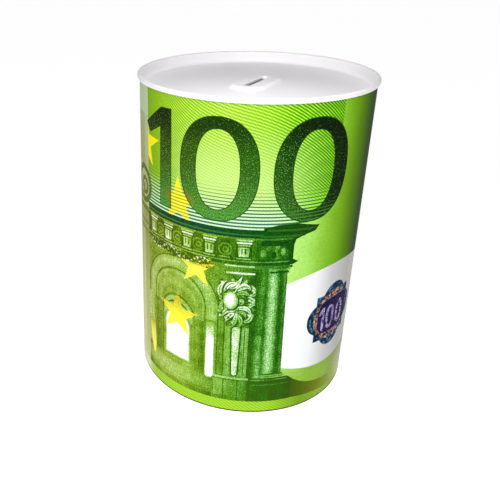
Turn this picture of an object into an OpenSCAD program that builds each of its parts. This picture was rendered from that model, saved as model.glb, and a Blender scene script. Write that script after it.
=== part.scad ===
// Sealed tin money box: a printed tube with a slotted end seamed on top and a base hemmed in below.
// It stands on the plane z = 0 with its axis on Z, and the coin slot runs along Y.

/* [Body] */
// Outside diameter of the tube
body_d = 150; // [110:1:180]
// Height of the whole box, from the hem to the rim
height = 214; // [120:1:260]
// Thickness of the body sheet
body_t = 0.25; // [0.2:0.01:0.35]
// Width of the lap in the welded side seam
lap_w = 1.2; // [0.6:0.1:3]
// Direction of the side seam, anticlockwise from +X
lap_turn = 204; // [0:1:359]
// Height of the hem that grips the base
hem_h = 2.4; // [1.6:0.1:4]

/* [Top end] */
// Thickness of the sheet of both ends
end_t = 0.3; // [0.2:0.01:0.35]
// Height of the double seam
seam_h = 2.8; // [2.6:0.1:4]
// Depth of the lid panel below the rim
panel_depth = 7.8; // [5:0.1:10]
// Radius where the chuck wall turns into the lid panel
panel_bend = 2.5; // [1:0.1:4]

/* [Slot pad] */
// Length of the embossed pad round the slot
pad_l = 46; // [44:1:70]
// Width of the embossed pad
pad_w = 25; // [20:1:40]
// Radius of the pad's corners
pad_corner = 9.5; // [5:0.5:9.5]
// Height of the pad above the lid panel
pad_rise = 1.6; // [0.8:0.1:2.5]
// Width of the pad's sloping edge
pad_slope = 3; // [1:0.1:4.5]

/* [Coin slot] */
// Length of the slot
slot_l = 32; // [28:0.5:36]
// Width of the slot
slot_w = 4.4; // [3:0.1:6]
// Depth of the turned-down lips
lip_h = 2; // [1:0.1:4]

/* [Bottom end] */
// Depth of the base panel above the standing plane
base_depth = 5; // [4:0.1:10]
// Radius where the base panel turns into its wall
base_bend = 1.5; // [0.5:0.1:2]
// Radius of the ring bead in the base, as a share of the tube's radius
bead_share = 0.82; // [0.4:0.01:0.88]
// Width of the ring bead
bead_w = 5; // [3:0.5:8]
// Height of the ring bead
bead_h = 0.9; // [0.4:0.1:1.4]

/* [Hidden] */
$fn = 96;

// Clearance left between the layers of sheet in the seams
gap = 0.2;
// Thickness of the sealing compound
compound_t = 0.25;
// Radius of the middle of the sheet in the corners of the hem
hem_bend = 0.2;

body_r = body_d / 2;

// Radii of the middle of each layer of the top seam, from the inside outwards
chuck_r = body_r - body_t - gap - end_t / 2;
wall_r = body_r - body_t / 2;
cover_hook_r = body_r + gap + end_t / 2;
body_hook_r = cover_hook_r + end_t / 2 + gap + body_t / 2;
seaming_r = body_hook_r + body_t / 2 + gap + end_t / 2;

// Bends of the top seam: where one sheet turns over the next
rim_bend = (seaming_r - chuck_r) / 2;
rim_bend_z = height - end_t / 2 - rim_bend;
flange_bend = (body_hook_r - wall_r) / 2;
flange_bend_z = height - end_t - 2 * gap - compound_t - body_t / 2 - flange_bend;
hook_bend = (seaming_r - cover_hook_r) / 2;
hook_bend_z = height - seam_h + end_t / 2 + hook_bend;

// Middle of the sheet in the lid panel and in the base panel
panel_z = height - panel_depth - end_t / 2;
base_z = base_depth + end_t / 2;

// The hook of the hem, inside the wall of the base
hem_hook_r = chuck_r - end_t / 2 - gap - body_t / 2;

function unit(v) = v / norm(v);
function left_of(v) = [-v[1], v[0]];
function direction(p, i) = unit(p[i + 1] - p[i]);

// Points of an arc about c, from angle a to angle b
function arc(c, r, a, b, steps = 8) =
    [for (i = [0 : steps]) let (t = a + (b - a) * i / steps) c + r * [cos(t), sin(t)]];

// Point i of a path, moved d to the left so that the moved path runs parallel to it
function beside(p, i, d) =
    let (before = left_of(direction(p, max(i - 1, 0))))
    let (after = left_of(direction(p, min(i, len(p) - 2))))
    let (middle = unit(before + after))
    p[i] + d * middle / (middle * before);

// Outline of a sheet of thickness t whose middle follows the path p
function sheet_outline(p, t) = concat(
    [for (i = [0 : len(p) - 1]) beside(p, i, t / 2)],
    [for (i = [len(p) - 1 : -1 : 0]) beside(p, i, -t / 2)]
);

// A sheet turned about the Z axis
module spun_sheet(p, t) {
    rotate_extrude()
        polygon(sheet_outline(p, t));
}

// From the hook of the hem, under the foot, up the wall and over into the body hook
body_path = concat(
    [[hem_hook_r, hem_h]],
    arc([hem_hook_r + hem_bend, body_t / 2 + hem_bend], hem_bend, 180, 270, 4),
    arc([wall_r - hem_bend, body_t / 2 + hem_bend], hem_bend, 270, 360, 4),
    arc([wall_r + flange_bend, flange_bend_z], flange_bend, 180, 0),
    [[body_hook_r, hook_bend_z + gap]]
);

// From the centre of the panel, up the chuck wall, over the rim and into the cover hook
top_path = concat(
    [[0, panel_z]],
    arc([chuck_r - panel_bend, panel_z + panel_bend], panel_bend, 270, 360),
    arc([chuck_r + rim_bend, rim_bend_z], rim_bend, 180, 0),
    arc([seaming_r - hook_bend, hook_bend_z], hook_bend, 0, -180),
    [[cover_hook_r, flange_bend_z - gap]]
);

// From the centre of the base, over the ring bead and down the wall into the hem
bead_r = body_r * bead_share;
bead_bend = (bead_w * bead_w / 4 + bead_h * bead_h) / (2 * bead_h);
bead_half = asin(bead_w / 2 / bead_bend);
base_path = concat(
    [[0, base_z]],
    arc([bead_r, base_z + bead_h - bead_bend], bead_bend, 90 + bead_half, 90 - bead_half),
    arc([chuck_r - base_bend, base_z - base_bend], base_bend, 90, 0),
    [[chuck_r, body_t + gap]]
);

// A crescent of compound lining the inside of the rim
compound_bend = rim_bend - (end_t + gap + compound_t) / 2;
compound_path = arc([chuck_r + rim_bend, rim_bend_z], compound_bend, 150, 30);

// The second layer of sheet where the edges of the tube lap, inside the wall
module side_lap() {
    low = base_depth + end_t + bead_h;
    high = panel_z - end_t;
    intersection() {
        difference() {
            cylinder(h = height, r = body_r - body_t / 2);
            translate([0, 0, -1])
                cylinder(h = height + 2, r = body_r - 2 * body_t);
        }
        rotate(lap_turn)
            translate([body_r - 2, -lap_w / 2, low])
                cube([4, lap_w, high - low]);
    }
}

module body_shell() {
    color("limegreen") {
        spun_sheet(body_path, body_t);
        side_lap();
    }
}

// Places its children at the centres of the pad's rounded corners
module pad_corners() {
    for (x = [-1, 1], y = [-1, 1])
        translate([x * (pad_w / 2 - pad_corner), y * (pad_l / 2 - pad_corner), 0])
            children();
}

// The raised pad, on a straight skirt that reaches down by skirt
module pad_form(skirt) {
    hull()
        pad_corners()
            cylinder(h = pad_rise, r1 = pad_corner, r2 = pad_corner - pad_slope, $fn = 32);
    hull()
        pad_corners()
            translate([0, 0, -skirt])
                cylinder(h = skirt, r = pad_corner, $fn = 32);
}

// The slot's outline, grown by grow all round
module slot_outline(grow) {
    straight = slot_l - slot_w;
    square([slot_w + 2 * grow, straight], center = true);
    for (y = [-1, 1])
        translate([0, y * straight / 2])
            circle(r = slot_w / 2 + grow);
}

module top_end() {
    pad_top = panel_z + end_t / 2 + pad_rise;
    color("white")
        difference() {
            union() {
                difference() {
                    union() {
                        spun_sheet(top_path, end_t);
                        translate([0, 0, panel_z + end_t / 2])
                            pad_form(end_t / 2);
                    }
                    translate([0, 0, panel_z - end_t / 2])
                        pad_form(1);
                }
                translate([0, 0, pad_top - lip_h])
                    linear_extrude(lip_h)
                        slot_outline(end_t);
            }
            translate([0, 0, pad_top - 2 * lip_h])
                linear_extrude(3 * lip_h)
                    slot_outline(0);
        }
}

module bottom_end() {
    color("silver")
        spun_sheet(base_path, end_t);
}

module seam_compound() {
    color("dimgray")
        spun_sheet(compound_path, compound_t);
}

body_shell();
top_end();
bottom_end();
seam_compound();
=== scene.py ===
from math import asin, ceil, copysign, cos, degrees, exp, hypot, pi, radians, sin, sqrt, tau

import bmesh
import bpy
from mathutils import Matrix, Vector
from mathutils.geometry import delaunay_2d_cdt


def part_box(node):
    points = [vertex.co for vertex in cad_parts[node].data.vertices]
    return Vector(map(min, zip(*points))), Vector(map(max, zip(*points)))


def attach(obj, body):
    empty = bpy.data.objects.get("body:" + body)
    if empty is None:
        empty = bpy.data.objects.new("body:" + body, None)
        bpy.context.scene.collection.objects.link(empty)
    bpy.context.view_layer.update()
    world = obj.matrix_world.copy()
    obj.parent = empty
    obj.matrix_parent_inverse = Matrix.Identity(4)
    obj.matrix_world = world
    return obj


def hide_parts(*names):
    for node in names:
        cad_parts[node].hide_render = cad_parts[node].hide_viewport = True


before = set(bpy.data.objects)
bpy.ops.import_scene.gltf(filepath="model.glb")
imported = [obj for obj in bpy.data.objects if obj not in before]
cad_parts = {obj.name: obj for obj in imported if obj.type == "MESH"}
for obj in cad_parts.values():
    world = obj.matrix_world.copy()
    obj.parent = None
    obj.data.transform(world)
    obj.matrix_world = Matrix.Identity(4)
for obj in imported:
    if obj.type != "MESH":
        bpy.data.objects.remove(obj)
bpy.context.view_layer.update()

MM = 0.001

# ---- dimensions, in millimetres
# The driving sizes come from the frame. The rest repeat the part's own sheet and bend sizes.


def node_radius(node, low, high):
    """Largest distance from the axis of a CAD node's points between two heights."""
    points = [v.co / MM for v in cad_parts[node].data.vertices]
    return max(hypot(p.x, p.y) for p in points if low <= p.z <= high)


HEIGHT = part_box("top_end")[1].z / MM
TUBE_R = node_radius("body_shell", 0, HEIGHT / 2)
RIM_R = node_radius("top_end", 0, HEIGHT)
SEAM_H, PANEL_DEPTH, BASE_DEPTH = 2.8, 7.8, 5.0
SEAM_Z = HEIGHT - SEAM_H
BODY_T, END_T, COMPOUND_T, GAP = 0.25, 0.3, 0.25, 0.2

# Middle of each layer of sheet in the top seam, from the inside outwards
CHUCK_R = TUBE_R - BODY_T - GAP - END_T / 2
WALL_R = TUBE_R - BODY_T / 2
COVER_HOOK_R = TUBE_R + GAP + END_T / 2
BODY_HOOK_R = COVER_HOOK_R + END_T / 2 + GAP + BODY_T / 2
SEAMING_R = RIM_R - END_T / 2

PANEL_Z, PANEL_BEND = HEIGHT - PANEL_DEPTH - END_T / 2, 2.5
PAD_L, PAD_W, PAD_CORNER = 46.0, 25.0, 9.5
PAD_RISE, PAD_SLOPE = 1.6, 3.0
SLOT_L, SLOT_W, LIP_H, LIP_ROLL = 32.0, 4.4, 2.0, 0.6
BASE_Z, BASE_BEND = BASE_DEPTH + END_T / 2, 1.5
BEAD_R, BEAD_W, BEAD_H = TUBE_R * 0.82, 5.0, 0.9
HEM_H, HEM_BEND = 2.4, 0.2
# Length of the straight end of each hook in the top seam
HOOK_END = 0.4

# The print is a film this far outside the tube, from just above the hem to just inside the seam
FILM = 0.02
FILM_LOW, FILM_HIGH = 0.33, SEAM_Z + 0.1
FRONT_TURN = radians(-66)
HALF_ROUND = pi * TUBE_R
WELD_MARGIN = 3.2


def srgb(r, g, b):
    """A colour given as 0 to 255 screen values, as the linear colour that a shader takes."""
    def linear(c):
        c /= 255
        return c / 12.92 if c <= 0.04045 else ((c + 0.055) / 1.055) ** 2.4
    return (linear(r), linear(g), linear(b), 1.0)


# ---- shader helpers


def combiner(operation, swapped=False):
    """An arithmetic method that joins a value and another one in a math node."""
    def combine(value, other):
        pair = (other, value) if swapped else (value, other)
        return value.graph.math(operation, *pair)
    return combine


class Value:
    """A number or colour worked out at each point of a material. Arithmetic on it adds nodes."""

    def __init__(self, graph, socket):
        self.graph, self.socket = graph, socket

    __add__, __mul__ = combiner("ADD"), combiner("MULTIPLY")
    __sub__, __rsub__ = combiner("SUBTRACT"), combiner("SUBTRACT", True)
    __truediv__ = combiner("DIVIDE")

    def held(self):
        """The value kept between 0 and 1."""
        return self.graph.math("ADD", self, 0.0, clamp=True)

    def mapped(self, ends, results, kind="LINEAR"):
        names = ("Value", "From Min", "From Max", "To Min", "To Max")
        settings = dict(zip(names, (self, *ends, *results)))
        return self.graph.texture("MapRange", settings, interpolation_type=kind)

    def step(self, low, high):
        """0 at low, 1 at high and smooth between; low may be above high."""
        results = (1.0, 0.0) if low > high else (0.0, 1.0)
        return self.mapped(sorted((low, high)), results, "SMOOTHSTEP")

    def stripes(self, pitch):
        """A wave from 0 to 1 that repeats each time the value grows by pitch."""
        return self.graph.math("SINE", self / pitch * tau) * 0.5 + 0.5

    def ramp(self, *stops):
        """Colours at rising places, blended between them. A stop is its place, then r, g and b."""
        low, high = stops[0][0], stops[-1][0]
        made = self.graph.node("ShaderNodeValToRGB")
        self.graph.feed(made.inputs[0], self.mapped((low, high), (0.0, 1.0)))
        elements = made.color_ramp.elements
        while len(elements) < len(stops):
            elements.new(0.5)
        for element, (place, *colour) in zip(elements, stops):
            element.position = (place - low) / (high - low)
            element.color = srgb(*colour)
        return Value(self.graph, made.outputs[0])

    def toward(self, share, colour):
        """This colour with a share of another one mixed in."""
        return self.graph.mix(share, self, colour)


class Graph:
    """A material's node tree, with the few calls that the materials need."""

    def __init__(self, name):
        self.material = bpy.data.materials.new(name)
        self.material.use_nodes = True
        self.tree = self.material.node_tree
        self.shader = self.tree.nodes["Principled BSDF"]

    def node(self, kind, **settings):
        made = self.tree.nodes.new(kind)
        for key, value in settings.items():
            setattr(made, key, value)
        return made

    def feed(self, socket, value):
        if isinstance(value, Value):
            self.tree.links.new(value.socket, socket)
        else:
            socket.default_value = value

    def texture(self, kind, inputs, output=0, **settings):
        """The output of a new node whose named inputs are fed."""
        made = self.node("ShaderNode" + kind, **settings)
        for name, value in inputs.items():
            self.feed(made.inputs[name], value)
        return Value(self, made.outputs[output])

    def math(self, operation, *values, clamp=False):
        inputs = dict(enumerate(values))
        return self.texture("Math", inputs, operation=operation, use_clamp=clamp)

    def mix(self, share, a, b):
        return self.texture("MixRGB", {0: share, 1: a, 2: b})

    def point(self, x, y, z=0.0):
        return self.texture("CombineXYZ", {0: x, 1: y, 2: z})

    def split(self, vector):
        made = self.node("ShaderNodeSeparateXYZ")
        self.feed(made.inputs[0], vector)
        return [Value(self, part) for part in made.outputs]

    def noise(self, vector, scale, detail=2.0, rough=0.5):
        inputs = {"Vector": vector, "Scale": scale, "Detail": detail, "Roughness": rough}
        return self.texture("TexNoise", inputs)

    def cells(self, vector, scale, output):
        """Many scattered points: the Distance to the nearest one, or its own random Color."""
        return self.texture("TexVoronoi", {"Vector": vector, "Scale": scale}, output)

    def object_point(self):
        return self.texture("TexCoord", {}, "Object")

    def bump(self, height, strength, distance):
        inputs = {"Strength": strength, "Distance": distance, "Height": height}
        self.feed(self.shader.inputs["Normal"], self.texture("Bump", inputs))

    def surface(self, colour, roughness, metallic=0.0, coat=0.0, coat_roughness=0.04, specular=0.5):
        inputs = {"Base Color": colour, "Roughness": roughness, "Metallic": metallic,
                  "Specular IOR Level": specular, "Coat Weight": coat, "Coat Roughness": coat_roughness}
        for name, value in inputs.items():
            self.feed(self.shader.inputs[name], value)
        return self.material


class Ink(Graph):
    """A printed ink. u runs round the panel and z up it, both in millimetres, with u = 0 in its middle."""

    def __init__(self, name):
        super().__init__(name)
        self.here = self.texture("UVMap", {}, uv_map="print")
        self.u, self.z, _ = self.split(self.here)

    def tone(self):
        """How light the drawing makes a shape here, from its mesh."""
        return self.texture("Attribute", {}, "Fac", attribute_name="tone")

    def varnished(self, colour):
        """Ink on tinplate under a gloss varnish, which has settled slightly unevenly."""
        where = self.object_point()
        grain = self.noise(where, 900.0, 3.0)
        self.bump(self.noise(where, 60.0) + grain * 0.02, 0.25, 0.0006)
        return self.surface(colour, grain * 0.16 + 0.26, coat=VARNISH, coat_roughness=0.03, specular=0.0)


# ---- inks of the print

VARNISH = 0.09
RULE_PITCH = 2.15
FOIL_TILE = 1.2
PATCH_U, PATCH_Z, PATCH_R = 68.2, 66.3, 24.0


def make_ink(paint):
    """The material of one of the inks below, each of which says what colour it has round u and up z."""
    g = Ink(paint.__name__)
    return g.varnished(paint(g, g.u, g.z))


def lined_field_ink(g, u, z):
    """Yellow-green ground under swept fine lines, and mint with ruled teal lines lower down."""
    # Both ramps are lighter in the middle and darker towards both ends of the field. That is partly the
    # print's own colour and partly painted shade, where the tin curves away from the light.
    light = u.ramp((-77, 150, 196, 14), (-60, 174, 216, 46), (-40, 188, 228, 76), (-15, 198, 232, 98),
                   (8, 184, 226, 76), (24, 168, 234, 48), (40, 148, 226, 38), (55, 134, 214, 32))
    dark = u.ramp((-77, 86, 136, 0), (-60, 104, 150, 0), (-40, 112, 164, 8), (-15, 128, 178, 22),
                  (8, 108, 170, 10), (24, 44, 118, 0), (40, 14, 90, 0), (55, 10, 80, 0))
    # The fine lines bend down towards the right by the square of u, and up towards the left by its cube
    side = g.math("SIGN", u)
    bend = g.math("POWER", g.math("ABSOLUTE", u) * 0.0155, side * -0.5 + 2.5)
    drop = z + (u * 0.25 + bend * side * (side * 3.2 + 24.7))
    cross = (u * 1.1 + z).stripes(2.3)
    fine = cross * 0.2 + drop.stripes(1.8).step(0.1, 0.8) * 0.85
    ground = light.toward(fine * z.step(146, 166), dark)

    middle = u.step(-62, -24) * u.step(52, 5)
    ground = ground.toward(z.step(204, 160) * middle * 0.7, srgb(206, 238, 144))
    mint = z.step(160, 139) * u.step(46, 14)
    ground = ground.toward(mint * 0.85, srgb(206, 244, 206))
    ground = ground.toward(cross.step(0.3, 0.9) * 0.22, srgb(104, 172, 20))

    width = z.step(165, 138) * -0.48 + 0.92
    ruled = (z.stripes(RULE_PITCH) - width).step(-0.06, 0.12) * z.step(170, 152) * 0.92
    line = g.mix(u.step(-40, -76), srgb(0, 84, 70), srgb(20, 74, 18))
    line = line.toward(u.step(-10, 46), srgb(8, 92, 24))
    return ground.toward(ruled, line)


def plain_field_ink(g, u, z):
    """Plain green ground: light beside the gateway and darker towards the right, partly its own gradient
    and partly painted shade; a dark band of painted shade near its right edge, where the tin curves away
    from the light; beige at the foot.
    """
    # Painted shade: the ramp falls to near black round u = 96, at the tin's right side, which turns away
    # from the light, and rises again beyond it.
    ground = u.ramp((26, 190, 238, 124), (38, 176, 232, 106), (50, 148, 206, 62), (58, 128, 186, 36),
                    (65, 112, 164, 20), (72, 90, 134, 2), (80, 68, 102, 0), (88, 36, 56, 0),
                    (96, 22, 38, 0), (108, 64, 100, 6), (118, 84, 128, 16))
    foot = u.ramp((50, 146, 186, 62), (66, 158, 190, 84), (76, 172, 184, 108), (90, 216, 214, 186))
    ground = ground.toward(z.step(46, 22) * 0.8, foot)
    cloud = g.noise(g.here, 0.045, 3.0).step(0.45, 0.7) * u.step(84, 66) * 0.25
    ground = ground.toward(cloud, srgb(110, 156, 10))
    mottle = g.noise(g.here, 0.5, 4.0, 0.7).step(0.35, 0.75)
    share = (z + u * 0.35).stripes(1.1) * 0.12 + mottle * 0.2
    return ground.toward(share, srgb(70, 130, 0))


def margin_ink(g, u, z):
    """Pale grey-green paper at the panel's left, with a few faint rules near the top."""
    paper = z.ramp((0, 222, 228, 180), (60, 212, 216, 158), (120, 180, 186, 116), (150, 170, 180, 118),
                   (168, 184, 198, 154), (211, 188, 200, 160))
    shade = z.ramp((0, 170, 174, 92), (70, 158, 166, 74), (130, 88, 104, 16), (158, 78, 100, 14),
                   (160, 146, 134, 76), (211, 146, 152, 92))
    mottle = g.noise(g.point(u, z * 0.35), 0.8, 4.0, 0.7)
    share = (1.0 - g.tone() + (mottle * 1.1 - 0.55)).held()
    rules = z.stripes(2.4).step(0.7, 0.95) * z.step(186, 196) * 0.3
    return paper.toward(share, shade).toward(rules, srgb(120, 190, 180))


def numeral_ink(g, u, z):
    """Very dark olive at the top, leaf green below, speckled, with a brown stain by the second star."""
    base = u.ramp((-80, 24, 36, 0), (-50, 26, 46, 0), (-30, 28, 62, 0), (5, 14, 60, 0), (18, 2, 46, 0),
                  (34, 0, 28, 0), (62, 0, 8, 0))
    bright = u.ramp((-80, 80, 112, 12), (-43, 92, 132, 20), (5, 74, 140, 30), (20, 52, 112, 20),
                    (62, 14, 46, 4))
    top = z.step(180, 200) * 0.5
    low = z.step(180, 140) * u.step(50, -10) * 0.6
    base = base.toward(top, srgb(4, 10, 0)).toward(low, srgb(40, 124, 14))
    bright = bright.toward(top, srgb(30, 50, 4)).toward(low, srgb(150, 216, 110))
    cut = z.step(176, 203) * 0.08 + 0.42
    grain = (g.noise(g.here, 1.6, 3.0, 0.65) - cut).step(0.0, 0.24)
    near = g.cells(g.here, 1.25, "Distance")
    speck = near.step(0.42, 0.2) * (u.step(60, 10) * 0.45 + 0.2) * grain.step(0.0, 0.7)
    ruled = z.stripes(RULE_PITCH).step(0.55, 0.1) * z.step(154, 144) * 0.4
    colour = base.toward(grain * 0.7, bright).toward(speck, srgb(158, 218, 104))
    colour = colour.toward(ruled, srgb(84, 168, 60))
    across, up = (u + 45.0) * 0.08, (z - 149.0) * 0.12
    away = across * across + up * up
    stain = away.step(1.2, 0.4) * g.noise(g.here, 0.5, 3.0).step(0.3, 0.6) * 0.6
    return colour.toward(stain, srgb(140, 110, 16))


def edge_ink(g, u, z):
    """The numerals' outline, a little darker than their body."""
    dark = u.ramp((-80, 20, 36, 0), (-30, 24, 54, 0), (10, 4, 44, 0), (62, 0, 18, 0))
    return dark.toward(g.noise(g.here, 1.4, 3.0) * 0.6, srgb(50, 110, 10))


def engraving_ink(g, u, z):
    """Engraved work: its tone runs from dark to mid green, light green and bare paper, in a fine grain."""
    tone = g.tone()
    dark = u.ramp((-77, 62, 78, 0), (-40, 62, 92, 0), (-12, 36, 84, 0), (10, 8, 74, 0), (36, 0, 60, 0))
    middle = u.ramp((-77, 134, 152, 24), (-40, 126, 162, 26), (-12, 92, 144, 10), (12, 54, 126, 8),
                    (36, 34, 108, 4))
    light = u.ramp((-77, 188, 204, 112), (-40, 174, 208, 98), (-12, 148, 198, 88), (12, 142, 208, 112),
                   (36, 124, 190, 92))
    dark = dark.toward(z.step(70, 10) * 0.2, srgb(104, 130, 0))
    grain = g.noise(g.here, 1.05, 4.0, 0.68)
    streak = g.noise(g.point(u * 1.2, z * 0.16), 1.0, 3.0, 0.6)
    cloud = g.noise(g.here, 0.12)
    broken = grain * 1.9 + streak * 0.7 + cloud * 0.6 - 1.6
    calm = tone.step(1.2, 1.7) * -0.8 + 1.0
    cut = broken * calm + tone
    band = 0.45
    colour = dark.toward((cut / band).held(), middle).toward(((cut - band) / band).held(), light)
    return colour.toward(((cut - 2 * band) / band).held(), srgb(250, 255, 244))


def star_ink(g, u, z):
    """Yellow, ruled with thin olive lines where the stars cross the ruled ground."""
    base = z.ramp((36, 250, 242, 118), (64, 252, 246, 66), (106, 246, 242, 84), (150, 246, 236, 60),
                  (176, 246, 230, 14))
    base = base.toward(g.noise(g.here, 0.16, 3.0).step(0.4, 0.7) * 0.5, srgb(244, 226, 30))
    ruled = z.stripes(RULE_PITCH).step(0.62, 0.85) * z.step(160, 152) * z.step(128, 134)
    base = base.toward(ruled * 0.75, srgb(110, 120, 0))
    grain = g.noise(g.here, 0.9, 3.0) * 0.7 - 0.35
    return base.toward((1.0 - (g.tone() + grain)).held(), srgb(140, 120, 10))


def cornice_ink(g, u, z):
    """The dark top band of the gateway, blue-green at the left and leaf green at the right."""
    dark = u.ramp((-77, 30, 64, 12), (-55, 0, 50, 44), (-20, 0, 62, 36), (10, 0, 62, 0), (46, 4, 46, 0))
    light = u.ramp((-77, 110, 150, 50), (10, 40, 130, 30), (46, 70, 130, 20))
    grain = g.noise(g.point(u * 0.4, z * 1.4), 1.0, 4.0, 0.7)
    return dark.toward((g.tone() + (grain * 1.5 - 0.75)).held(), light)


def strip_ink(g, u, z):
    """Lime strip along the foot with slanting rules, pale under the margin, and a dark line of painted
    contact shadow along its bottom edge.
    """
    base = u.ramp((-118, 226, 230, 200), (-80, 222, 228, 190), (-74, 192, 216, 120), (-67, 170, 212, 66),
                  (-45, 172, 220, 56), (20, 166, 214, 54), (45, 116, 160, 32), (62, 150, 180, 70),
                  (118, 168, 196, 110))
    ruled = (u * 0.7 + z).stripes(2.2).step(0.4, 0.95)
    share = (ruled * 0.6 + (g.noise(g.here, 1.1, 3.0) * 0.4 - 0.15)).held()
    colour = base.toward(share * (u.step(-80, -72) * 0.8 + 0.2), srgb(116, 160, 10))
    # Painted contact shadow: a thin dark line below about 1.5 mm, where the tin stands on the floor.
    return colour.toward(z.step(1.5, 1.0), srgb(40, 48, 20))


def olive_ink(g, u, z):
    """The broad dark band at the foot of the panel's right side, with faint upright streaks."""
    base = u.ramp((34, 52, 84, 0), (46, 80, 104, 0), (58, 112, 126, 16), (70, 140, 154, 60),
                  (82, 176, 186, 122), (94, 206, 212, 170))
    streak = g.noise(g.point(u, z * 0.1), 0.9, 3.0, 0.6)
    return base.toward((streak * 1.4 - 0.5).held() * 0.55, srgb(60, 84, 0))


def paper_ink(g, u, z):
    """Bare white paper of the window, turning warm grey towards its right: painted shade where the tin
    curves away from the light.
    """
    # Painted shade: the paper greys towards u = 80 and lightens again beyond it.
    base = u.ramp((26, 252, 252, 252), (48, 240, 240, 242), (62, 204, 203, 206), (80, 186, 184, 184),
                    (118, 218, 216, 210))
    wire = g.noise(g.here, 0.5, 3.0).step(0.5, 0.8) * 0.1
    return base.toward(wire, srgb(190, 206, 190))


def foil_ink(name, *stops):
    """Diffracting foil: tiles set in rings, each of its own colour, with thin dark joints."""
    g = Ink(name)
    across, up = g.u - PATCH_U, g.z - PATCH_Z
    reach = g.math("SQRT", across * across + up * up)
    where = g.point(reach, g.math("ARCTAN2", up, across) * 13.0)
    near, colour = (g.cells(where, 1.0 / FOIL_TILE, output) for output in ("Distance", "Color"))
    tint = g.split(colour)[0].ramp(*stops)
    return g.varnished(tint.toward(near.step(0.45, 0.75), srgb(16, 18, 40)))


NAVY, TEAL, SKY = (12, 22, 60), (14, 62, 92), (84, 150, 172)
PLUM, SAND, BLUSH = (70, 44, 70), (206, 150, 96), (226, 190, 196)

PAINTS = (lined_field_ink, plain_field_ink, margin_ink, numeral_ink, edge_ink, engraving_ink, star_ink,
          cornice_ink, strip_ink, olive_ink, paper_ink)
INKS = {paint.__name__.removesuffix("_ink"): make_ink(paint) for paint in PAINTS}
FOILS = {
    "foil_rim": ((0, *NAVY), (0.4, *TEAL), (0.7, 54, 88, 128), (1, *SKY)),
    "foil_ring": ((0, *PLUM), (0.35, *SAND), (0.6, *NAVY), (0.8, *BLUSH), (1, *TEAL)),
    "foil_core": ((0, 20, 12, 72), (0.8, 30, 22, 92), (1, *PLUM)),
    "foil_light": ((0, 150, 128, 190), (1, 206, 190, 226)),
}
INKS |= {name: foil_ink(name, *stops) for name, stops in FOILS.items()}
INK_ORDER = list(INKS)

# ---- outlines, in millimetres


def rect(u0, z0, u1, z1):
    return [(u0, z0), (u1, z0), (u1, z1), (u0, z1)]


def sweep(u, z, r, start, end, count=24):
    """Points of an arc about (u, z), from angle start to angle end in degrees."""
    turns = [radians(start + (end - start) * i / count) for i in range(count + 1)]
    return [(u + r * cos(t), z + r * sin(t)) for t in turns]


def disc(u, z, r, count=40):
    return sweep(u, z, r, 0, 360 - 360 / count, count - 1)


def squircle(u, z, a, b, power=2.25, count=96):
    """A circle stretched to half-widths a and b, and squared a little by the power."""
    def bend(value):
        return copysign(abs(value) ** (2 / power), value)
    turns = [tau * i / count for i in range(count)]
    return [(u + a * bend(cos(t)), z + b * bend(sin(t))) for t in turns]


def star(u, z, r, turn, arms=5, waist=0.4):
    """A star that reaches r, with an arm at turn degrees. The waist is a share of r."""
    reach = [(r if i % 2 == 0 else r * waist, radians(turn + 180 * i / arms)) for i in range(2 * arms)]
    return [(u + d * cos(t), z + d * sin(t)) for d, t in reach]


def arch(u, z, r, foot, count=32):
    """A round-headed opening of half-width r that springs at z and stands on foot."""
    return [(u - r, foot), (u + r, foot)] + sweep(u, z, r, 0, 180, count)


def inset(outline, d):
    """An outline moved inwards by d, with mitred corners."""
    moved = []
    for i, here in enumerate(outline):
        before, here, after = (Vector(p) for p in (outline[i - 1], here, outline[(i + 1) % len(outline)]))
        a, b = (here - before).normalized(), (after - here).normalized()
        left_a, left_b = Vector((-a.y, a.x)), Vector((-b.y, b.x))
        middle = (left_a + left_b).normalized()
        moved.append(tuple(here + middle * d / max(middle.dot(left_a), 0.3)))
    return moved


def anticlockwise(outline):
    """The outline running anticlockwise, as the cutter needs."""
    area = sum(a[0] * b[1] - b[0] * a[1] for a, b in zip(outline, outline[1:] + outline[:1]))
    return outline if area > 0 else outline[::-1]


def smooth(t):
    return t * t * (3 - 2 * t)


def grading(axis):
    """Makes tones that change evenly from low at a to high at b, along the axis."""
    def grade(low, high, a, b):
        return lambda *place: low + (high - low) * min(1.0, max(0.0, (place[axis] - a) / (b - a)))
    return grade


fade, rise = grading(0), grading(1)


def lit_above(foot, tone, gain=0.03):
    """A tone that grows by gain for each millimetre up from foot."""
    return lambda u, z: tone + gain * (z - foot)


def along(tones, share):
    """The value at a share of the way through a row of evenly spaced tones."""
    place = share * (len(tones) - 1)
    i = min(int(place), len(tones) - 2)
    return tones[i] + (tones[i + 1] - tones[i]) * (place - i)


class Drawing:
    """Flat shapes painted back to front, each with an ink and a tone."""

    def __init__(self):
        self.shapes = []

    def fill(self, outline, ink, tone=1.0, holes=()):
        self.shapes.append((anticlockwise(outline), [anticlockwise(h) for h in holes], ink, tone))

    def engrave(self, outline, tone, holes=()):
        self.fill(outline, "engraving", tone, holes)

    def bar(self, u0, z0, u1, z1, tone, ink="engraving"):
        self.fill(rect(u0, z0, u1, z1), ink, tone)

    def bars(self, *rows):
        for row in rows:
            self.bar(*row)

    def relief(self, u0, z0, u1, z1, tones, drop=0.0):
        """A block whose tone runs through the given ones from left to right, and falls by drop below."""
        count = len(tones) - 1
        for i in range(count):
            left, right = u0 + (u1 - u0) * i / count, u0 + (u1 - u0) * (i + 1) / count
            across = fade(tones[i], tones[i + 1], left, right)
            self.bar(left, z0, right, z1,
                     lambda u, z, across=across: across(u, z) - drop * (z1 - z) / (z1 - z0))

    def mould(self, shape, width, tones, pitch=0.6):
        """Nested bands inwards over a width, their tones running through the given ones.
        shape(d) is the outline moved inwards by d."""
        count = ceil(width / pitch)
        for i in range(count + 1):
            self.engrave(shape(width * i / count), along(tones, i / count))


# ---- the printed panel

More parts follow.
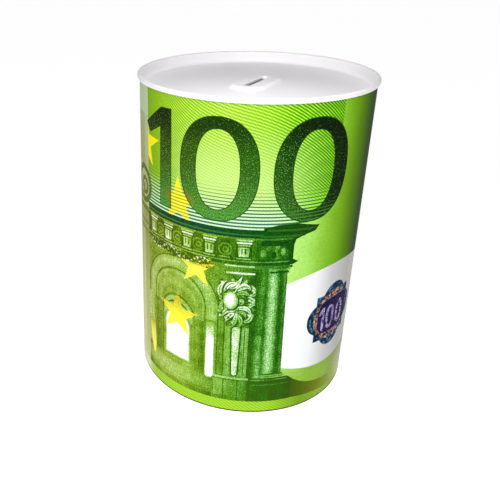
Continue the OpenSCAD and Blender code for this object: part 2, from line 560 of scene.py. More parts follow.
FLOOR_Z = 9.2
CORNICE_LOW, CORNICE_HIGH = 131, 136.4
FRIEZE_LOW = 116.5
CAPITAL_TOP = 113.2
ARCH_U, ARCH_Z, ARCH_R, ARCH_FOOT = -45.4, 78, 31.4, 27
DOOR_LEFT, DOOR_RIGHT, DOOR_Z, DOOR_FOOT = -56.8, -33.2, 62, 30.6
DOOR_U, HEAD_Z = (DOOR_LEFT + DOOR_RIGHT) / 2, 67.4
GATE_LEFT = -77.2
EDGE, TOP_Z = 117.8, 211


def draw_grounds(d):
    d.bar(-EDGE, FLOOR_Z, GATE_LEFT, TOP_Z, 1, "margin")
    d.bar(GATE_LEFT, FLOOR_Z, EDGE, TOP_Z, 1, "plain_field")
    d.fill([(GATE_LEFT, 130), (36, 130), (36, 139), (44, 146), (52, 152), (54.8, 166), (54.8, TOP_Z),
            (GATE_LEFT, TOP_Z)], "lined_field")
    d.bar(-EDGE, 0, EDGE, FLOOR_Z, 1, "strip")


def draw_margin(d):
    """The pale side of the panel: a plain block above, and a ghost of the building below it."""
    low, high, right = FLOOR_Z + 14, 112, GATE_LEFT
    rows = ((-EDGE, 130, right, TOP_Z, 1), (-112, 159, -83.5, 193, 0.45), (-83.5, 159, right, 193, 0.75),
            (-EDGE, FLOOR_Z, right, 131, fade(0.95, 0.5, -104, -80)),
            (-116, low, -108, high, 0.6), (-103, low, -97, high, 0.7), (-91.5, low, -86, high, 0.9),
            (-84.6, low, right, high, 0.38), (-EDGE, high, right, 115, 0.2), (-EDGE, 118, right, 120, 0.2),
            (-EDGE, 127, right, 131, 0.2))
    for row in rows:
        d.bar(*row, "margin")
    for u, z, r, band, tone in ((-86, 146, 13.5, 4, 0.1), (-84.5, 145, 6.5, 3, 0.15)):
        d.fill(disc(u, z, r), "margin", tone, [disc(u, z, r - band)])
    d.fill(sweep(-98, 146, 14, 200, 360, 20) + sweep(-98, 146, 10.5, 360, 200, 20), "margin", 0.3)


def draw_upper_stars(d):
    """Two yellow stars on the ruled ground, behind the numerals."""
    d.fill(star(-79.6, 176.4, 17, 15), "star")
    d.fill(star(-45, 146.5, 16.5, 92), "star")


def draw_lower_stars(d):
    """Two stars over the gateway, dull where they cross stone, and the tip of one at its left edge.
    The door head's line runs on over the second star."""
    d.fill(star(-31, 106.4, 14.6, 19), "star", rise(1, 0.2, 105, 115))
    d.fill(star(-44.8, 66.5, 17, 89), "star", rise(1.1, 0.5, 64, 76))
    d.engrave(sweep(DOOR_U, 66.6, 14.4, 12, 168, 20) + sweep(DOOR_U, 66, 14.2, 168, 12, 20), 0.2)
    d.fill([(-76.6, 48), (-73.4, 30), (-70.8, 21.6), (-68.4, 21.6), (-67.2, 30), (-68.6, 48)], "star",
           rise(1, 0.3, 40, 47))


def numeral_one(u, foot, top):
    """A plain upright stroke with a flag: u is the stroke's right edge."""
    return [(u, foot), (u, top), (u - 9.5, top - 0.4), (u - 27.6, top - 13), (u - 22.6, top - 19),
            (u - 10.6, top - 12.6), (u - 10.8, foot)]


def draw_numerals(d):
    """The large 100: a one and two squared noughts, each with a thin darker outline."""
    low, high = 139.8, 202.6
    middle, half = (low + high) / 2 + 0.4, (high - low) / 2 + 0.2
    rim = 0.6
    one = anticlockwise(numeral_one(-50.9, low, high))
    d.fill(one, "edge")
    d.fill(inset(one, rim), "numeral")
    for u in (-19.2, 37.9):
        outer, inner = (24.7, half), (13.3, half - 7.5)
        d.fill(squircle(u, middle, *outer), "edge", 1, [squircle(u, middle, *inner)])
        d.fill(squircle(u, middle, outer[0] - rim, outer[1] - rim), "numeral", 1,
               [squircle(u, middle, inner[0] + rim, inner[1] + rim)])


def draw_cornice(d):
    """The crowning band, which steps out at its right end over the frieze and its brackets."""
    right_end = [(10, CORNICE_LOW), (10, 137.6), (18, 139.6), (30, 140), (45.4, 136.8), (42.6, 133.4),
                 (35, 131.6), (30.4, 129.6), (29.2, 126)]
    d.bar(GATE_LEFT, CORNICE_LOW, 13, CORNICE_HIGH, 0.08, "cornice")
    d.bar(GATE_LEFT, 132.6, 12, 133.5, 0.6, "cornice")
    d.fill(right_end + [(8, 126)], "cornice", 0.12)
    d.fill([(12, 137), (43, 136), (40, 134.9), (12, 135.6)], "cornice", 0.5)
    d.fill([(8, 132.9), (35, 132.6), (32, 131.4), (8, 131.8)], "cornice", 0.55)
    d.bar(GATE_LEFT, 129.8, 28.5, CORNICE_LOW, 0.42)


def draw_bracket(d, u, width=7.4):
    """A scrolled bracket: a stepped cap, a waisted body with two flutes, and a foot."""
    half = width / 2
    d.bar(u - half - 0.8, 115.8, u + half + 0.8, 130.2, 0.02)
    cap = ((0.9, 128.8, 130, 0.8), (0.3, 127, 128.1, 1.15), (-0.6, 125.4, 126.4, 0.75))
    for extra, low, high, tone in cap:
        d.bar(u - half - extra, low, u + half + extra, high, tone)
    foot, top = half - 1.2, half - 0.7
    waist = [(u - foot, 118.4), (u + foot, 118.4), (u + top, 124.6), (u - top, 124.6)]
    d.engrave(waist, lambda p, z: 1.25 - 0.12 * abs(p - u + 1) - 0.04 * (z - 118))
    for side in (-1, 1):
        d.bar(u + side * 1.1 - 0.4, 120.2, u + side * 1.1 + 0.4, 124, 0.1)
    d.bar(u - half - 0.2, 116.6, u + half + 0.2, 117.6, 0.7)


def draw_frieze(d):
    """A dark band of brackets and worn roundels, mottled like old stone at its right end."""
    d.bar(GATE_LEFT, FRIEZE_LOW, 29.2, 130, fade(0.02, 0.1, -77, 10))
    for u in (-61, -45.2, -29.6, -12.2):
        d.engrave(disc(u, 122.6, 4.4, 18), 0.42, [disc(u, 122.6, 3.3, 18)])
        d.engrave(disc(u + 0.3, 122.2, 2.2, 14), 0.4, [disc(u, 122.6, 1, 10)])
        d.bar(u - 3.6, 117, u + 3, 117.8, 0.58)
    for u in (-69.2, -53.4, -37.6, -22.2):
        draw_bracket(d, u)
    d.bar(-8.2, 117.2, 6.2, 129.6, 0.24)
    draw_bracket(d, -1, 8.4)
    d.relief(7.6, 117, 28.6, 129.6, (0.1, 0.4, 0.14, 0.46, 0.1, 0.3, 0.05))
    spots = ((10.4, 121, 0.6), (13.6, 125, 0.5), (17, 120, -0.1), (19, 126, 0.5), (22.6, 122, 0.6),
             (25.4, 126, 0))
    for u, z, tone in spots:
        d.engrave(squircle(u, z, 1.5, 2.6, 2, 14), tone)


def draw_architrave(d):
    """The moulding under the frieze: a dark drip line to a pointed end, and a fillet."""
    d.engrave([(GATE_LEFT, 112.8), (29.2, 112.8), (33, 114.6), (29.2, 116.6), (GATE_LEFT, 116.6)], 0.06)
    d.bars((GATE_LEFT, 114.9, 27, 115.6, 0.6), (GATE_LEFT, 110.4, 27.6, 112.8, 0.4),
           (-12, 111.4, 6, 112.4, 0.95))


def draw_garland(d):
    """A dark garland of broken leafwork under the architrave's left half, partly in the stars' yellow."""
    d.engrave([(-72, 110.6), (-50, 109.4), (-34, 108.6), (-22, 109.8), (-21, 113.4), (-72, 114.4)], 0)
    count = 110
    for i in range(count):
        u = -71 + 50 * i / (count - 1)
        z = 111.4 + 3 * sin(2.4 * i) - 0.03 * (u + 46)
        leaf = star(u, z, 1.1 + 0.4 * sin(1.7 * i), 47 * i, 3, 0.4)
        ink = "star" if i % 4 == 1 and u > -46 else "engraving"
        d.fill(leaf, ink, (1.15, 0.45, -0.2, 0.75, -0.1)[i % 5])


def doorway(d):
    """The outline of the bright opening, moved inwards by d."""
    half = (DOOR_RIGHT - DOOR_LEFT) / 2 - d
    return arch(DOOR_U, DOOR_Z - 4, half, DOOR_FOOT + d, 20)


def draw_archway(d):
    """Nested mouldings and a ring of blocks round a bright doorway, between soft jambs."""
    d.relief(GATE_LEFT, FLOOR_Z, -13, 111, (0.5, 0.42, 0.5, 0.55, 0.5, 0.45))
    d.mould(lambda s: arch(ARCH_U, ARCH_Z, ARCH_R - s, ARCH_FOOT), 1.2, (0.35, 0.02, 0.4), 0.4)
    d.mould(lambda s: arch(ARCH_U, ARCH_Z, ARCH_R - 1.2 - s, ARCH_FOOT), 8, (0.62, 0.82, 0.74, 0.64), 0.9)
    blocks = 13
    for i in range(1, blocks):
        t = pi * i / blocks
        inner, outer = ARCH_R - 8.4, ARCH_R - 1.6
        d.engrave([(ARCH_U + r * cos(t + w), ARCH_Z + r * sin(t + w))
                   for r, w in ((inner, -0.008), (outer, -0.006), (outer, 0.006), (inner, 0.008))], 0.52)
    d.mould(lambda s: arch(ARCH_U, ARCH_Z - 0.6 * s, 22.2 - s, ARCH_FOOT), 8.4,
            (0.12, 0.8, 0.6, 0.56, 0.62, 0.7, 0.62, 0.5), 0.6)
    d.mould(lambda s: arch(DOOR_U, HEAD_Z - 0.4 * s, 13.9 - s, ARCH_FOOT), 3.4,
            (0.1, 0.3, 0.95, 0.7, 0.75), 0.5)
    d.relief(-77, 27, -59.2, 70, (0.95, 0.85, 0.7, 0.82, 0.5, 0.42, 0.3, 0.45, 0.4, 0.5), 0.1)
    d.relief(-32.6, 25, -23.4, 68, (0.62, 0.46, 0.55, 0.35, 0.22, 0.36), 0.08)
    d.mould(lambda s: inset(rect(DOOR_LEFT - 1.2, 29.4, DOOR_RIGHT + 1.2, 62.5), s), 1.6, (0.55, 0.3), 0.4)
    d.mould(doorway, 2.6, (0.45, 0.7, 1.1, 1.7), 0.5)
    d.engrave(arch(DOOR_U, HEAD_Z, 11.2, 65.2, 20), rise(0.8, 0.7, 64, 78))
    d.engrave(sweep(DOOR_U, 64.4, 11.6, 20, 160, 20) + sweep(DOOR_U, 63.2, 11.4, 160, 20, 20), 0.12)


def draw_slot_light(d):
    """The tall narrow opening beside the middle pier, lit from below."""
    left, right, foot = -23.4, -16.2, 24.2
    steps = 5
    for i in range(steps + 1):
        share = smooth(i / steps)
        s = 1.5 * i / steps
        outline = inset([(left, foot + 2), (left + 1.6, foot), (right - 1.4, foot + 0.6), (right, foot + 3),
                         (right, 70), (left, 70)], s)
        d.engrave(outline, lambda u, z, share=share: 0.42 + share * (rise(1.32, 0.3, 46, 70)(u, z)))


def draw_landing(d):
    """The worn steps before the doorway: soft level bands, light at the left."""
    for low, high, tone in ((26, 29, 0.5), (22.4, 26, 0.68), (18.8, 22.4, 0.74), (15.6, 18.8, 0.72),
                            (12.6, 15.6, 0.52), (FLOOR_Z, 12.6, 0.36)):
        d.relief(GATE_LEFT, low, -17.5, high, [tone + t for t in (-0.18, 0, 0.06, 0.08, 0, -0.12, -0.3)])


def frond(start, bend, end, width, count=9):
    """The outline of a curved leaf that swells from start and tapers to its tip at end."""
    near, far = [], []
    for i in range(1, count):
        s = i / count
        at = [(1 - s) ** 2 * a + 2 * s * (1 - s) * b + s * s * c for a, b, c in zip(start, bend, end)]
        way = [(1 - s) * (b - a) + s * (c - b) for a, b, c in zip(start, bend, end)]
        half = width / 2 * sin(pi * s ** 0.8) / hypot(*way)
        near.append((at[0] + way[1] * half, at[1] - way[0] * half))
        far.append((at[0] - way[1] * half, at[1] + way[0] * half))
    return [start] + near + [end] + far[::-1]


def draw_fronds(d, fronds):
    """Carved leaves, each with a dark shadow below and to its right, and a vein. A row holds the start,
    the bend and the end of a leaf, its width and its tone."""
    for *path, width, tone in fronds:
        start, bend, end = path[:2], path[2:4], path[4:]
        d.engrave([(u + 0.5, z - 0.6) for u, z in frond(start, bend, end, width + 0.7)], -0.3)
        d.engrave(frond(start, bend, end, width), lit_above(start[1], tone))
        d.engrave(frond(start, bend, end, width * 0.2), 0.3)


def draw_chips(d, count, size, tones):
    """Small broken facets scattered evenly over the crest."""
    for i in range(count):
        reach, turn = sqrt((i + 0.5) / count), 2.4 * i
        u, z = -2.4 + 11.4 * reach * cos(turn), 86 + 18.4 * reach * sin(turn)
        r = size * (1 + 0.35 * sin(1.7 * i))
        d.engrave(star(u, z, r, 47 * i, 3, 0.45), tones[i % len(tones)])


def draw_crest(d):
    """A carved crest of curling leaves in strong light from the left, over the pier."""
    d.engrave(squircle(-2.6, 86.5, 11, 17, 2, 28), fade(0.5, 0.2, -10, 8))
    draw_chips(d, 64, 2, (0.9, -0.1, 0.6, 0.05, 1.1))
    draw_fronds(d, (
        (-13, 88, -17.4, 95, -10.4, 101, 2.8, 0.9), (-11.6, 93, -9.4, 100.6, -3.2, 100, 3, 1.05),
        (-8.6, 95.6, -3.6, 97, -1, 105.2, 2.8, 1.15), (5, 91, 10, 93.6, 4.6, 99.4, 2.6, 0.85),
        (-5, 93.4, 1.2, 101.6, 5, 95.6, 4.2, 1), (-4, 91.4, 1, 95.8, 4.6, 90.6, 3, 0.75),
        (3.2, 90.6, 4.6, 88.4, 10.2, 86.4, 3.4, 1.1), (10.2, 86.4, 5, 86, 2.6, 81.6, 2.2, 0.95),
        (-12.2, 86, -15, 80.6, -10.8, 76.4, 2.2, 0.8), (-4.6, 81, 4, 85.6, 6, 76.6, 3.2, 1.05),
        (6.2, 79, 6, 70.6, -1.4, 73, 2.8, 1.1), (-3, 79, 2.6, 80.6, 2.6, 74.4, 2.2, 0.7),
        (-4.2, 79.6, -10.6, 82.4, -12.2, 74, 3.4, 1.1), (-4.4, 78, -7.8, 77.4, -10.4, 70.4, 3.2, 1.15),
        (-4, 77.6, -3, 72, -7, 66.6, 2.8, 1.1), (-3.2, 77.6, 1.2, 73.6, -1.2, 67.4, 2.6, 1)))
    d.engrave(squircle(-0.4, 86.4, 2.6, 2.8, 2, 18), 0)
    d.engrave(squircle(-0.8, 86.9, 1.9, 2.1, 2, 18), 0.8)
    draw_chips(d, 31, 1.25, (0, 1, 0.15, 0.8))
    d.engrave(squircle(-6.8, 86.6, 5, 6.8, 2, 26), -0.1)
    for s, tone in ((0, 0.8), (0.8, 1), (1.6, 1.2), (2.4, 1.45)):
        d.engrave(squircle(-7.4 - 0.2 * s, 87.2 + 0.2 * s, 4.6 - s, 6.4 - s, 2, 24), tone)


def draw_pilaster(d):
    """The middle pier: capital, a chain of leaves, the crest, a tapered shaft and a pedestal."""
    d.relief(-15.4, FLOOR_Z, 8.6, CAPITAL_TOP, (0.4, 0.44, 0.3, 0.42, 0.42, 0.36, 0.14, 0.04))
    d.bars((-11.8, 110.4, 7.4, 111.4, 0.95), (-10.6, 108.6, 6.2, 109.4, 0.35),
           (-11, 106.4, 6.6, 107.6, 1.15), (-9.6, 104.6, 5.2, 105.2, 0.3))
    d.relief(-10.2, 29, 5, 68, (0.56, 0.72, 0.5, 0.42, 0.52, 0.72, 0.6))
    for u, tone in ((-15, 0.1), (-10.6, 0.12), (5.4, 0.08), (2.6, 0.3)):
        d.bar(u - 0.35, 28.6, u + 0.35, 100, tone)
    shaft = sweep(-3, 31.8, 2.7, 185, 355, 14) + [(0.7, 69), (-6.7, 69)]
    d.engrave(shaft, 0)
    d.engrave(inset(anticlockwise(shaft), 1), lambda u, z: 1.16 - 0.1 * abs(u + 3.4))
    for i in range(18):
        leaf = star(-13.6 + 0.8 * sin(2.4 * i), 75.6 + 1.5 * i, 1.4, 53 * i, 3, 0.45)
        d.engrave(leaf, (1.1, -0.2, 0.8, 0)[i % 4])
    draw_crest(d)
    d.relief(-16.4, FLOOR_Z, 6, 27.6, (0.72, 0.66, 0.56, 0.52, 0.5, 0.4), 0.06)
    d.bars((-17, 26.8, 6.6, 28.4, 0.85), (-17, 25.8, 6.6, 26.4, 0.05), (-17, FLOOR_Z, 6.6, 12.2, 0.36))
    for u in (-9.8, -0.4, 6.2):
        d.bar(u - 0.4, FLOOR_Z, u + 0.4, 25.8, 0.16)


def draw_column(d):
    """The round column at the gateway's right edge, lit on its left side, on its block."""
    d.relief(7.6, 28, 14.2, CAPITAL_TOP, (0.04, 0.2, 0.4, 0.46, 0.2))
    d.relief(7.6, 28, 14.2, 62, (0.1, 0.4, 0.64, 0.68, 0.3))
    for i in range(10):
        low, spread = 31 + 8.2 * i, 1.6 - 0.16 * i
        d.relief(14.2, low, 20.8 + spread, low + 8.2, (0.3, 0.72, 0.93, 0.82, 0.5))
        d.relief(20.8 + spread, low, 28 - 0.16 * i, low + 8.2, (0.5, 0.2, 0.14, 0.3, 0.5, 0.12))
    d.bars((13.6, 110.8, 29.4, 112.4, 0.1), (14.6, 109.2, 28.2, 110.4, 0.62),
           (15.2, 107.4, 27.6, 108.8, 0.1), (13.4, 30.8, 29.4, 32.2, 0.3), (12.6, 29, 30.4, 30.4, 0.62))
    d.engrave([(6.6, FLOOR_Z), (36.2, FLOOR_Z), (36.2, 25.4), (33, 28.6), (6.6, 28.6)], 0.02)
    d.relief(8, FLOOR_Z, 34.6, 24.2, (0.16, 0.04, 0.14, 0.02, 0.12, 0))
    d.bars((8, 26.4, 33, 27.4, 0.5), (8, 22.4, 34.6, 23.2, 0.42))


def draw_small_numerals(d, u, z, high):
    """The same numerals again, small, in light foil, centred on (u, z)."""
    width, low = high * 0.3, z - high / 2
    d.fill([(u - 7.6, low), (u - 7.6, low + high), (u - 9.4, low + high), (u - 12.8, low + high * 0.78),
            (u - 12, low + high * 0.68), (u - 9.8, low + high * 0.8), (u - 9.8, low)], "foil_light")
    for side in (0, 1):
        middle = u - 1.6 + side * 11
        d.fill(squircle(middle, z, width / 2 + 1.6, high / 2, 2.4, 32), "foil_light", 1,
               [squircle(middle, z, width / 2 - 0.7, high / 2 - 2.4, 2.4, 32)])


def draw_window(d):
    """The white window at the panel's right, bowed above and below, with its four-lobed foil patch."""
    left, right, middle = 24, 108, 67
    drop = 7.4
    half = (right - left) / 2
    radius = (half ** 2 + drop ** 2) / (2 * drop)
    reach = degrees(asin(half / radius))
    low, high = 29.6, 105.4
    top = sweep(middle - 1, high - radius, radius, 90 - reach, 90 + reach, 30)
    foot = sweep(middle - 1, low + radius, radius, 270 - reach, 270 + reach, 30)
    d.fill(foot + top, "paper")
    u, z, r = PATCH_U, PATCH_Z, PATCH_R
    lobe, square = 12.4, 17.2
    d.fill(rect(u - square, z - square, u + square, z + square), "foil_rim")
    for across, up in ((1, 0), (0, 1), (-1, 0), (0, -1)):
        d.fill(disc(u + across * (r - lobe), z + up * (r - lobe), lobe), "foil_rim")
    d.fill(disc(u, z, r - 5.4, 56), "foil_ring")
    d.fill(squircle(u + 1.4, z, 16.6, 13, 3.4, 48), "foil_core")
    draw_small_numerals(d, u - 1.4, z - 1.4, 18)


def draw_foot_band(d):
    """A broad olive band that falls away from the column's block along the panel's foot."""
    left, step, count = 34, 4.19, 21
    places = [left + step * i for i in range(count)]
    crest = [(u, 13.5 + 11.8 * exp(-(u - 37) / 15)) for u in places]
    foot = [(u, 9.6 - 0.115 * (u - left)) for u in reversed(places)]
    d.fill(crest + foot, "olive")


def draw_panel():
    d = Drawing()
    for draw in (draw_grounds, draw_upper_stars, draw_margin, draw_window, draw_foot_band, draw_numerals,
                 draw_archway, draw_landing, draw_slot_light, draw_pilaster, draw_column, draw_lower_stars,
                 draw_architrave, draw_frieze, draw_garland, draw_cornice):
        draw(d)
    return d


# ---- the film that carries the print


def place_object(name, data):
    made = bpy.data.objects.new(name, data)
    bpy.context.scene.collection.objects.link(made)
    return made


def cut_sheet(drawing, u0, u1, z0, z1, strip=2.2, row=7.0):
    """The drawing inside a rectangle, cut into triangles that each lie in one shape only.
    Upright strips let it wrap round the tube, and rows let tones change up its height."""
    points, edges, faces = [], [], []

    def add(outline):
        start = len(points)
        points.extend(Vector(p) for p in outline)
        faces.append(list(range(start, start + len(outline))))
        return len(faces) - 1

    def line(a, b):
        points.extend((Vector(a), Vector(b)))
        edges.append((len(points) - 2, len(points) - 1))

    sheet = add(rect(u0, z0, u1, z1))
    layers = []
    for outline, holes, ink, tone in drawing.shapes:
        if max(p[0] for p in outline) <= u0 or min(p[0] for p in outline) >= u1:
            continue
        layers.append((add(outline), {add(h) for h in holes}, ink, tone))
    strips = round((u1 - u0) / strip)
    for i in range(1, strips):
        u = u0 + (u1 - u0) * i / strips
        line((u, z0), (u, z1))
    rows = round((z1 - z0) / row)
    for i in range(1, rows):
        z = z0 + (z1 - z0) * i / rows
        line((u0, z), (u1, z))
    flat, _, triangles, _, _, owners = delaunay_2d_cdt(points, edges, faces, 0, 1e-5, True)
    cut = []
    for triangle, owner in zip(triangles, owners):
        owner = set(owner)
        if sheet not in owner:
            continue
        top = next((s for s in reversed(layers) if s[0] in owner and not s[1] & owner), None)
        if top is not None:
            cut.append((triangle, top[2], top[3]))
    return flat, cut


def film(name, drawing, middle, u0, u1):
    """One sheet of the print: the drawing from u0 to u1, on the tube, of a panel turned to middle."""
    def outwards(u, reach=1.0):
        t = FRONT_TURN + (middle + u) / TUBE_R
        return reach * cos(t), reach * sin(t)

    flat, cut = cut_sheet(drawing, u0, u1, FILM_LOW, FILM_HIGH)
    used = sorted({i for triangle, _, _ in cut for i in triangle})
    index = {old: new for new, old in enumerate(used)}
    points = [(*outwards(flat[i].x, TUBE_R + FILM), flat[i].y) for i in used]
    vertices = [tuple(c * MM for c in point) for point in points]
    mesh = bpy.data.meshes.new(name)
    mesh.from_pydata(vertices, [], [[index[i] for i in triangle] for triangle, _, _ in cut])
    for ink in INK_ORDER:
        mesh.materials.append(INKS[ink])
    places, tones, normals, slots = [], [], [], []
    for triangle, ink, tone in cut:
        slots.append(INK_ORDER.index(ink))
        for corner in triangle:
            u, z = flat[corner]
            places.extend((u, z))
            tones.append(tone(u, z) if callable(tone) else tone)
            normals.append((*outwards(u), 0.0))
    mesh.uv_layers.new(name="print").uv.foreach_set("vector", places)
    mesh.attributes.new("tone", "FLOAT", "CORNER").data.foreach_set("value", tones)
    mesh.polygons.foreach_set("material_index", slots)
    mesh.shade_smooth()
    mesh.normals_split_custom_set(normals)
    return place_object(name, mesh)


# ---- metal finishes


def white_lacquer():
    """White lacquer rolled on the end: slightly cool, with a soft orange peel and a few rubbed spots."""
    g = Graph("white_lacquer")
    where = g.object_point()
    colour = g.mix(g.noise(where, 22.0, 3.0), srgb(230, 228, 231), srgb(237, 235, 237))
    rubbed = g.noise(where, 1400.0).step(0.68, 0.8) * 0.25
    g.bump(g.noise(where, 420.0) + g.noise(where, 26.0, 1.0) * 6.0, 0.12, 0.0002)
    rough = g.noise(where, 160.0, 3.0) * 0.14 + 0.26
    return g.surface(colour.toward(rubbed, srgb(190, 188, 190)), rough, coat=0.1, coat_roughness=0.12,
                     specular=0.3)


def bare_tinplate():
    """Bare tinplate with the fine straight grain of the rolls and a few dull patches."""
    g = Graph("bare_tinplate")
    where = g.object_point()
    x, y, z = g.split(where)
    grain = g.noise(g.point(x * 40.0, y * 2600.0, z * 2600.0), 1.0, 3.0, 0.6)
    patch = g.noise(where, 45.0, 3.0)
    light, dull = (0.6, 0.59, 0.57, 1.0), (0.468, 0.46, 0.445, 1.0)
    g.bump(grain, 0.15, 0.00004)
    return g.surface(g.mix(patch * 0.6 + grain * 0.3, light, dull), grain * 0.18 + (patch * 0.16 + 0.16),
                     metallic=1.0)


def sealing_compound():
    """Matt grey rubber-like compound."""
    g = Graph("sealing_compound")
    mottle = g.noise(g.object_point(), 500.0, 4.0, 0.6)
    g.bump(mottle, 0.4, 0.0001)
    return g.surface(g.mix(mottle, srgb(120, 116, 108), srgb(158, 152, 142)), mottle * 0.2 + 0.6)


# ---- pieces of sheet metal


def loft(name, loops, thickness, material):
    """A sheet whose middle runs through closed loops of equally many points, in millimetres."""
    count = len(loops[0])
    mesh = bpy.data.meshes.new(name)
    vertices = [tuple(c * MM for c in p) for loop in loops for p in loop]
    faces = []
    for start in range(0, count * (len(loops) - 1), count):
        for i in range(count):
            j = (i + 1) % count
            faces.append((start + i, start + j, start + count + j, start + count + i))
    mesh.from_pydata(vertices, [], faces)
    work = bmesh.new()
    work.from_mesh(mesh)
    bmesh.ops.remove_doubles(work, verts=work.verts, dist=1e-6)
    bmesh.ops.recalc_face_normals(work, faces=work.faces)
    work.to_mesh(mesh)
    work.free()
    mesh.materials.append(material)
    mesh.shade_smooth()
    made = place_object(name, mesh)
    thicken = made.modifiers.new("sheet", "SOLIDIFY")
    thicken.thickness = thickness * MM
    thicken.offset = 0.0
    thicken.use_even_offset = True
    return made


def ring(r, z, count):
    turns = [tau * i / count for i in range(count)]
    return [(r * cos(t), r * sin(t), z) for t in turns]


def rounded_loop(half_w, half_l, corner, z, count):
    """Points spaced evenly round a rectangle with round corners, anticlockwise from its +X side's middle.
    Each leg turns about a corner's centre, the first one not at all, and then runs straight."""
    a, b = half_w - corner, half_l - corner
    quarter = corner * pi / 2
    legs = ((a, 0, b), (a, b, 2 * a), (-a, b, 2 * b), (-a, -b, 2 * a), (a, -b, b))
    points = []
    for i in range(count):
        left = 4 * (a + b + quarter) * i / count
        for k, (x, y, run) in enumerate(legs):
            bend = quarter if k else 0
            if left <= bend + run + 1e-9:
                break
            left -= bend + run
        t = radians(90 * k + min(0, 90 * (left - bend) / quarter))
        on = max(0, left - bend)
        x, y = x + corner * cos(t) - on * sin(t), y + corner * sin(t) + on * cos(t)
        points.append((x, y, z))
    return points


def between(inner, outer, share, z):
    return [(a[0] + (b[0] - a[0]) * share, a[1] + (b[1] - a[1]) * share, z) for a, b in zip(inner, outer)]


def make_top_end(material):
    """The slotted end in one sheet: turned-down lips, embossed pad, panel, chuck wall and rolled seam."""
    count = 320
    pad_z = PANEL_Z + PAD_RISE
    grow = END_T / 2

    def slot(extra, z):
        return rounded_loop(SLOT_W / 2 + extra, SLOT_L / 2 + extra, SLOT_W / 2 + extra, z, count)

    def pad(inwards, z):
        return rounded_loop(PAD_W / 2 - inwards, PAD_L / 2 - inwards, PAD_CORNER - inwards, z, count)

    loops = [slot(grow, pad_z - LIP_H + (LIP_H - LIP_ROLL) * i / 3) for i in range(3)]
    for i in range(7):
        t = radians(90 * i / 6)
        loops.append(slot(grow + LIP_ROLL * (1 - cos(t)), pad_z - LIP_ROLL + LIP_ROLL * sin(t)))
    edge = loops[-1]
    top = pad(PAD_SLOPE, pad_z)
    loops += [between(edge, top, i / 8, pad_z) for i in range(1, 9)]
    loops += [pad(PAD_SLOPE * (1 - i / 12), pad_z - PAD_RISE * smooth(i / 12)) for i in range(1, 13)]
    foot = loops[-1]
    flat_r = CHUCK_R - PANEL_BEND
    loops += [between(foot, ring(flat_r, PANEL_Z, count), smooth(i / 16) * 0.3 + i / 16 * 0.7, PANEL_Z)
              for i in range(1, 17)]
    rim_bend = (SEAMING_R - CHUCK_R) / 2
    hook_bend = (SEAMING_R - COVER_HOOK_R) / 2
    hook_z = SEAM_Z + END_T / 2 + hook_bend
    path = sweep(flat_r, PANEL_Z + PANEL_BEND, PANEL_BEND, 278, 360, 9)
    path += sweep(CHUCK_R + rim_bend, HEIGHT - END_T / 2 - rim_bend, rim_bend, 180, 0, 14)
    path += sweep(SEAMING_R - hook_bend, hook_z, hook_bend, 0, -180, 8)
    path += [(COVER_HOOK_R, hook_z + HOOK_END)]
    loops += [ring(r, z, count) for r, z in path]
    return loft("money_tin_top_end", loops, END_T, material)


def body_path():
    """Radius and height of the tube's sheet, from the hook of the hem to the body hook."""
    hem_hook_r = CHUCK_R - END_T / 2 - GAP - BODY_T / 2
    flange_bend = (BODY_HOOK_R - WALL_R) / 2
    flange_z = HEIGHT - END_T - 2 * GAP - COMPOUND_T - BODY_T / 2 - flange_bend
    bend_z = BODY_T / 2 + HEM_BEND
    path = [(hem_hook_r, HEM_H), (hem_hook_r, 1.4)]
    path += sweep(hem_hook_r + HEM_BEND, bend_z, HEM_BEND, 180, 270, 4)
    path += sweep(WALL_R - HEM_BEND, bend_z, HEM_BEND, 270, 360, 4)
    path += [(WALL_R, z) for z in (1.5, 3.0, 8.0, 30, 60, 90, 120, 150, 180, 200, SEAM_Z - 1)]
    path += sweep(WALL_R + flange_bend, flange_z, flange_bend, 180, 0, 6)
    return path + [(BODY_HOOK_R, flange_z - HOOK_END)]


def make_body(material):
    """The tube with its hem, its body hook and the welded lap standing a little proud."""
    count = 288
    weld_turn = FRONT_TURN - pi / 2
    lap, ridge, clear, foot_z = 0.6, 0.12, 4.5, 6
    widths = (-3.0, -1.0, -lap, -lap * 0.8, 0, lap * 0.8, lap, 1.0, 3.0)
    spare = count - len(widths)
    span = tau - 2 * clear / TUBE_R
    turns = [clear / TUBE_R + span * i / (spare - 1) for i in range(spare)] + [w / TUBE_R for w in widths]
    turns.sort(key=lambda t: t % tau)

    def lift(t, r, z):
        away = abs((t + pi) % tau - pi) * TUBE_R
        if away > lap or r < WALL_R - 0.01 or not foot_z < z < SEAM_Z:
            return 0.0
        return ridge * smooth(min(1.0, (lap - away) / (0.35 * lap)))

    loops = []
    for r, z in body_path():
        reach = [(t + weld_turn, r + lift(t, r, z)) for t in turns]
        loops.append([(d * cos(t), d * sin(t), z) for t, d in reach])
    return loft("money_tin_body", loops, BODY_T, material)


def make_bottom_end(material):
    """The base: a flat panel with a ring bead, turned down into the hem."""
    bend = (BEAD_W ** 2 / 4 + BEAD_H ** 2) / (2 * BEAD_H)
    half = degrees(asin(BEAD_W / 2 / bend))
    flat = BEAD_W / 2 + 0.6
    path = [(r, BASE_Z) for r in (0, 4, 12, 24, 36, 48, 56, BEAD_R - flat)]
    path += sweep(BEAD_R, BASE_Z + BEAD_H - bend, bend, 90 + half, 90 - half, 10)
    path += [(BEAD_R + flat, BASE_Z), (CHUCK_R - BASE_BEND - 1, BASE_Z)]
    path += sweep(CHUCK_R - BASE_BEND, BASE_Z - BASE_BEND, BASE_BEND, 90, 0, 8)
    path += [(CHUCK_R, 2.0), (CHUCK_R, BODY_T + GAP)]
    return loft("money_tin_bottom_end", [ring(r, z, 240) for r, z in path], END_T, material)


# ---- build and place

tinplate = bare_tinplate()

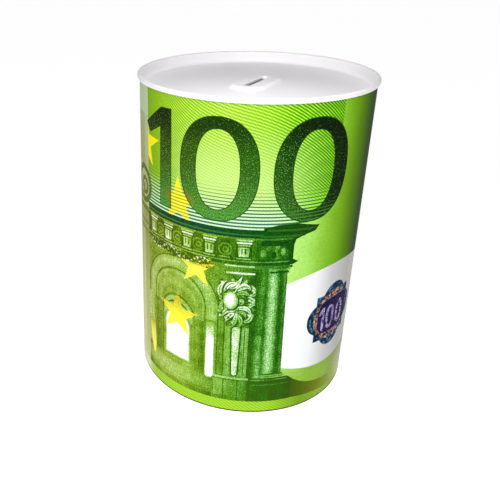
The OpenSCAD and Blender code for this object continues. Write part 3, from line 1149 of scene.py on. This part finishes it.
top_end = make_top_end(white_lacquer())
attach(top_end, "root")
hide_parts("top_end")

body = make_body(tinplate)
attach(body, "root")
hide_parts("body_shell")

bottom_end = make_bottom_end(tinplate)
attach(bottom_end, "root")
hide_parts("bottom_end")

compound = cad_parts["seam_compound"]
compound.data.materials.clear()
compound.data.materials.append(sealing_compound())

panel = draw_panel()
for side, middle in (("front", 0.0), ("back", HALF_ROUND)):
    low = -HALF_ROUND / 2 + (WELD_MARGIN if side == "front" else 0.0)
    high = HALF_ROUND / 2 - (WELD_MARGIN if side == "back" else 0.0)
    for i in range(3):
        u0, u1 = low + (high - low) * i / 3, low + (high - low) * (i + 1) / 3
        sheet = film(f"print_{side}_{i + 1}", panel, middle, u0, u1)
        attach(sheet, "root")


# ---- floor, light and camera


def make_floor():
    """A white sheet, lit evenly from beneath as on a product table."""
    white, glow, reach = 0.93, 0.74, 12.0
    g = Graph("floor_paper")
    g.surface((white, white, white, 1), 0.9)
    g.shader.inputs["Emission Color"].default_value = (1, 1, 1, 1)
    g.shader.inputs["Emission Strength"].default_value = glow
    mesh = bpy.data.meshes.new("floor")
    corners = [(-reach, -reach, 0), (reach, -reach, 0), (reach, reach, 0), (-reach, reach, 0)]
    mesh.from_pydata(corners, [], [(0, 1, 2, 3)])
    mesh.materials.append(g.material)
    place_object("floor", mesh)


def make_light(name, place, target, size, power):
    """A square lamp that faces its target and that the camera doesn't see."""
    data = bpy.data.lights.new(name, "AREA")
    data.size = size
    data.energy = power
    lamp = place_object(name, data)
    lamp.location = place
    lamp.rotation_euler = (Vector(target) - Vector(place)).to_track_quat("-Z", "Y").to_euler()
    lamp.visible_camera = False


def make_sun(name, azimuth, elevation, strength, spread):
    """Light from far off. Its azimuth is anticlockwise from +X and its spread is its width in the sky."""
    data = bpy.data.lights.new(name, "SUN")
    data.energy = strength
    data.angle = radians(spread)
    a, e = radians(azimuth), radians(elevation)
    away = Vector((cos(a) * cos(e), sin(a) * cos(e), sin(e)))
    place_object(name, data).rotation_euler = away.to_track_quat("Z", "Y").to_euler()


def make_world(strength):
    world = bpy.data.worlds.new("studio")
    world.use_nodes = True
    background = world.node_tree.nodes["Background"]
    background.inputs["Color"].default_value = (1, 1, 1, 1)
    background.inputs["Strength"].default_value = strength
    bpy.context.scene.world = world


def make_camera():
    """At the photograph's place. Its place and turn are counted from the view straight at the front."""
    data = bpy.data.cameras.new("camera")
    data.sensor_width = 36
    data.lens = 45.0
    data.shift_x, data.shift_y = 0.178, -0.048
    data.clip_start = 0.01
    camera = place_object("camera", data)
    facing = Matrix.Rotation(FRONT_TURN + pi / 2, 3, "Z")
    yaw, pitch, roll = radians(-8.65), radians(25.06), radians(-0.21)
    forward = Vector((sin(yaw) * cos(pitch), cos(yaw) * cos(pitch), -sin(pitch)))
    level = Vector((cos(yaw), -sin(yaw), 0))
    above = level.cross(forward)
    right = cos(roll) * level + sin(roll) * above
    up = -sin(roll) * level + cos(roll) * above
    axes = Matrix((facing @ right, facing @ up, facing @ -forward)).transposed()
    place = facing @ Vector((0, -409.7, 293.9)) * MM
    camera.matrix_world = Matrix.Translation(place) @ axes.to_4x4()
    bpy.context.scene.camera = camera


make_floor()
make_world(0.18)
make_sun("front_panel", -74, 14, 1.1, 40)
make_light("key_box", (0.179, -0.402, 0.480), (0, 0, 0.16), 0.12, 0.9)
make_light("lid_box", (0.032, -0.072, 0.285), (0.028, -0.063, 0.206), 0.14, 0.14)
make_camera()
bpy.context.scene.view_settings.view_transform = "Standard"
